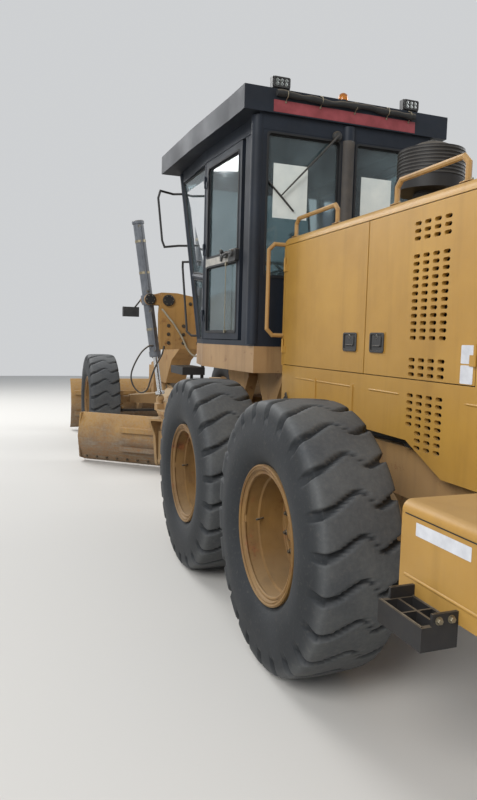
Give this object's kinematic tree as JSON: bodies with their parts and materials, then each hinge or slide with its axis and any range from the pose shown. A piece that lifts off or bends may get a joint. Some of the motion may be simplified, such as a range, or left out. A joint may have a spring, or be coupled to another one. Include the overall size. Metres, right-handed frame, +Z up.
{
  "type": "motor grader",
  "caption": "Articulated motor grader with a cab, tandem rear wheels, a turning grading blade hung under a gooseneck frame, and a front dozer blade.",
  "frame": {"origin": "on the ground, under the middle of the machine's length and on its middle plane", "axes": "+X forward along the machine, +Y to the left, +Z up"},
  "size_m": [10.35, 3.1389, 3.5903],
  "materials": {
    "ochre_paint": "ochre yellow machine enamel, semi-gloss, dusty",
    "cab_paint": "dark blue-black cab enamel, semi-gloss",
    "base_paint": "tan-orange enamel, satin",
    "black_paint": "black satin enamel",
    "engine_iron": "grey painted iron",
    "rod_chrome": "hard chrome, ground",
    "pin_steel": "machined steel, greased",
    "tread_rubber": "dusty black tyre rubber",
    "cab_glass": "clear safety glass",
    "seat_cloth": "dark woven cloth",
    "cab_plastic": "moulded dark plastic"
  },
  "bodies": {
    "rear_frame": {"rear_chassis": "ochre_paint", "engine": "engine_iron", "hood_shell": "ochre_paint", "lower_panels": "ochre_paint", "rear_grille": "black_paint", "hood_rails": "ochre_paint", "stacks": "black_paint", "side_boxes": "ochre_paint", "steps": "black_paint", "tandem_axle": "ochre_paint", "cab_base": "base_paint", "cab_frame": "cab_paint", "cab_roof": "cab_paint", "cab_glass": "cab_glass", "seat": "seat_cloth", "controls": "cab_plastic", "work_lights": "cab_plastic", "cab_rails": "black_paint"},
    "cab_door_left": {"cab_door_left": "cab_paint", "door_glass_left": "cab_glass"},
    "cab_door_right": {"cab_door_right": "cab_paint", "door_glass_right": "cab_glass"},
    "hood_door_left_front": {"hood_door_left_front": "ochre_paint"},
    "hood_door_left_rear": {"hood_door_left_rear": "ochre_paint"},
    "hood_door_right_front": {"hood_door_right_front": "ochre_paint"},
    "hood_door_right_rear": {"hood_door_right_rear": "ochre_paint"},
    "box_lid_left": {"box_lid_left": "ochre_paint"},
    "box_lid_right": {"box_lid_right": "ochre_paint"},
    "front_frame": {"front_frame": "ochre_paint", "saddle": "ochre_paint", "headlights": "cab_plastic", "front_axle": "ochre_paint"},
    "knuckle_left": {"knuckle_left": "ochre_paint"},
    "knuckle_right": {"knuckle_right": "ochre_paint"},
    "tie_rod": {"tie_rod": "black_paint"},
    "drawbar_swivel": {"drawbar_swivel": "pin_steel"},
    "drawbar": {"drawbar": "ochre_paint"},
    "circle": {"circle": "ochre_paint"},
    "blade_arms": {"blade_arms": "ochre_paint"},
    "moldboard": {"moldboard": "ochre_paint"},
    "lift_barrel_left": {"lift_barrel_left": "black_paint"},
    "lift_barrel_right": {"lift_barrel_right": "black_paint"},
    "lift_rod_left": {"lift_rod_left": "rod_chrome"},
    "lift_rod_right": {"lift_rod_right": "rod_chrome"},
    "dozer_blade": {"dozer_blade": "ochre_paint"},
    "dozer_rod": {"dozer_rod": "rod_chrome"},
    "artic_rod_left": {"artic_rod_left": "rod_chrome"},
    "artic_rod_right": {"artic_rod_right": "rod_chrome"},
    "wheel_left_rear": {"tyre_left_rear": "tread_rubber", "rim_left_rear": "ochre_paint"},
    "wheel_left_mid": {"tyre_left_mid": "tread_rubber", "rim_left_mid": "ochre_paint"},
    "wheel_left_front": {"tyre_left_front": "tread_rubber", "rim_left_front": "ochre_paint"},
    "wheel_right_rear": {"tyre_right_rear": "tread_rubber", "rim_right_rear": "ochre_paint"},
    "wheel_right_mid": {"tyre_right_mid": "tread_rubber", "rim_right_mid": "ochre_paint"},
    "wheel_right_front": {"tyre_right_front": "tread_rubber", "rim_right_front": "ochre_paint"}
  },
  "joints": [
    {"name": "articulation", "type": "hinge", "parent": "rear_frame", "child": "front_frame", "pos_m": [-0.675, 0, 0.985], "axis": [0, 0, 1], "range_deg": [-25, 25]},
    {"name": "wheel_left_rear_spin", "type": "hinge", "parent": "rear_frame", "child": "wheel_left_rear", "pos_m": [-3.425, 1.085, 0.69], "axis": [0, 1, 0], "continuous": true},
    {"name": "wheel_left_mid_spin", "type": "hinge", "parent": "rear_frame", "child": "wheel_left_mid", "pos_m": [-1.887, 1.085, 0.69], "axis": [0, 1, 0], "continuous": true},
    {"name": "steer_left", "type": "hinge", "parent": "front_frame", "child": "knuckle_left", "pos_m": [3.575, 0.79, 0.69], "axis": [0, 0, 1], "range_deg": [-45, 45]},
    {"name": "wheel_left_front_spin", "type": "hinge", "parent": "knuckle_left", "child": "wheel_left_front", "pos_m": [3.575, 1.085, 0.69], "axis": [0, 1, 0], "continuous": true},
    {"name": "wheel_right_rear_spin", "type": "hinge", "parent": "rear_frame", "child": "wheel_right_rear", "pos_m": [-3.425, -1.085, 0.69], "axis": [0, 1, 0], "continuous": true},
    {"name": "wheel_right_mid_spin", "type": "hinge", "parent": "rear_frame", "child": "wheel_right_mid", "pos_m": [-1.887, -1.085, 0.69], "axis": [0, 1, 0], "continuous": true},
    {"name": "steer_right", "type": "hinge", "parent": "front_frame", "child": "knuckle_right", "pos_m": [3.575, -0.79, 0.69], "axis": [0, 0, 1], "range_deg": [-45, 45]},
    {"name": "wheel_right_front_spin", "type": "hinge", "parent": "knuckle_right", "child": "wheel_right_front", "pos_m": [3.575, -1.085, 0.69], "axis": [0, 1, 0], "continuous": true},
    {"name": "tie_rod_swing", "type": "hinge", "parent": "knuckle_left", "child": "tie_rod", "pos_m": [3.345, 0.79, 0.546], "axis": [0, 0, 1], "range_deg": [-45, 45]},
    {"name": "centre_shift", "type": "hinge", "parent": "front_frame", "child": "drawbar_swivel", "pos_m": [3.325, 0, 1], "axis": [0, 0, 1], "range_deg": [-10, 10]},
    {"name": "drawbar_lift", "type": "hinge", "parent": "drawbar_swivel", "child": "drawbar", "pos_m": [3.325, 0, 0.9], "axis": [0, 1, 0], "range_deg": [-12.6, 11.3]},
    {"name": "circle_turn", "type": "hinge", "parent": "drawbar", "child": "circle", "pos_m": [1.025, 0, 0.725], "axis": [0, 0, 1], "continuous": true},
    {"name": "blade_tip", "type": "hinge", "parent": "circle", "child": "blade_arms", "pos_m": [0.8718, 0.1286, 0.15], "axis": [0.6428, 0.766, 0], "range_deg": [-5, 40]},
    {"name": "side_shift", "type": "slide", "parent": "blade_arms", "child": "moldboard", "axis": [0.6428, 0.766, 0], "range_m": [-0.5, 0.5]},
    {"name": "lift_barrel_left_swing", "type": "hinge", "parent": "front_frame", "child": "lift_barrel_left", "pos_m": [1.225, 0.87, 2.1], "axis": [1, 0, 0], "range_deg": [-18.5, 18.5]},
    {"name": "lift_rod_left_slide", "type": "slide", "parent": "lift_barrel_left", "child": "lift_rod_left", "axis": [0, 0.1438, 0.9896], "range_m": [-0.48, 0.44]},
    {"name": "lift_barrel_right_swing", "type": "hinge", "parent": "front_frame", "child": "lift_barrel_right", "pos_m": [1.225, -0.87, 2.1], "axis": [1, 0, 0], "range_deg": [-18.5, 18.5]},
    {"name": "lift_rod_right_slide", "type": "slide", "parent": "lift_barrel_right", "child": "lift_rod_right", "axis": [0, -0.1438, 0.9896], "range_m": [-0.48, 0.44]},
    {"name": "dozer_lift", "type": "hinge", "parent": "front_frame", "child": "dozer_blade", "pos_m": [4.135, 0, 0.76], "axis": [0, -1, 0], "range_deg": [-4, 30]},
    {"name": "dozer_rod_slide", "type": "slide", "parent": "front_frame", "child": "dozer_rod", "axis": [0, 0, 1], "range_m": [-0.03, 0.19]},
    {"name": "artic_rod_left_slide", "type": "slide", "parent": "rear_frame", "child": "artic_rod_left", "axis": [1, 0, 0], "range_m": [-0.15, 0.15]},
    {"name": "artic_rod_right_slide", "type": "slide", "parent": "rear_frame", "child": "artic_rod_right", "axis": [1, 0, 0], "range_m": [-0.15, 0.15]},
    {"name": "cab_door_left_swing", "type": "hinge", "parent": "rear_frame", "child": "cab_door_left", "pos_m": [-0.781, 0.809, 2.4], "axis": [0, 0, -1], "range_deg": [0, 100]},
    {"name": "cab_door_right_swing", "type": "hinge", "parent": "rear_frame", "child": "cab_door_right", "pos_m": [-0.781, -0.809, 2.4], "axis": [0, 0, 1], "range_deg": [0, 100]},
    {"name": "hood_door_left_front_swing", "type": "hinge", "parent": "rear_frame", "child": "hood_door_left_front", "pos_m": [-1.9925, 0.559, 1.9], "axis": [0, 0, -1], "range_deg": [0, 90]},
    {"name": "hood_door_left_rear_swing", "type": "hinge", "parent": "rear_frame", "child": "hood_door_left_rear", "pos_m": [-4.0625, 0.559, 1.9], "axis": [0, 0, 1], "range_deg": [0, 90]},
    {"name": "box_lid_left_open", "type": "hinge", "parent": "rear_frame", "child": "box_lid_left", "pos_m": [-4.775, 0.6, 1.115], "axis": [1, 0, 0], "range_deg": [0, 90]},
    {"name": "hood_door_right_front_swing", "type": "hinge", "parent": "rear_frame", "child": "hood_door_right_front", "pos_m": [-1.9925, -0.559, 1.9], "axis": [0, 0, 1], "range_deg": [0, 90]},
    {"name": "hood_door_right_rear_swing", "type": "hinge", "parent": "rear_frame", "child": "hood_door_right_rear", "pos_m": [-4.0625, -0.559, 1.9], "axis": [0, 0, -1], "range_deg": [0, 90]},
    {"name": "box_lid_right_open", "type": "hinge", "parent": "rear_frame", "child": "box_lid_right", "pos_m": [-4.775, -0.6, 1.115], "axis": [-1, 0, 0], "range_deg": [0, 90]}
  ],
  "couplings": [
    {"joint": "steer_right", "follows": "steer_left", "ratio": 1},
    {"joint": "tie_rod_swing", "follows": "steer_left", "ratio": -1},
    {"joint": "lift_barrel_left_swing", "follows": "centre_shift", "ratio": -1.78},
    {"joint": "lift_barrel_right_swing", "follows": "centre_shift", "ratio": -1.78},
    {"joint": "lift_rod_left_slide", "follows": "drawbar_lift", "m_per_rad": 2.1},
    {"joint": "lift_rod_right_slide", "follows": "drawbar_lift", "m_per_rad": 2.1},
    {"joint": "dozer_rod_slide", "follows": "dozer_lift", "m_per_rad": 0.268},
    {"joint": "artic_rod_left_slide", "follows": "articulation", "m_per_rad": -0.32},
    {"joint": "artic_rod_right_slide", "follows": "articulation", "m_per_rad": 0.32}
  ]
}
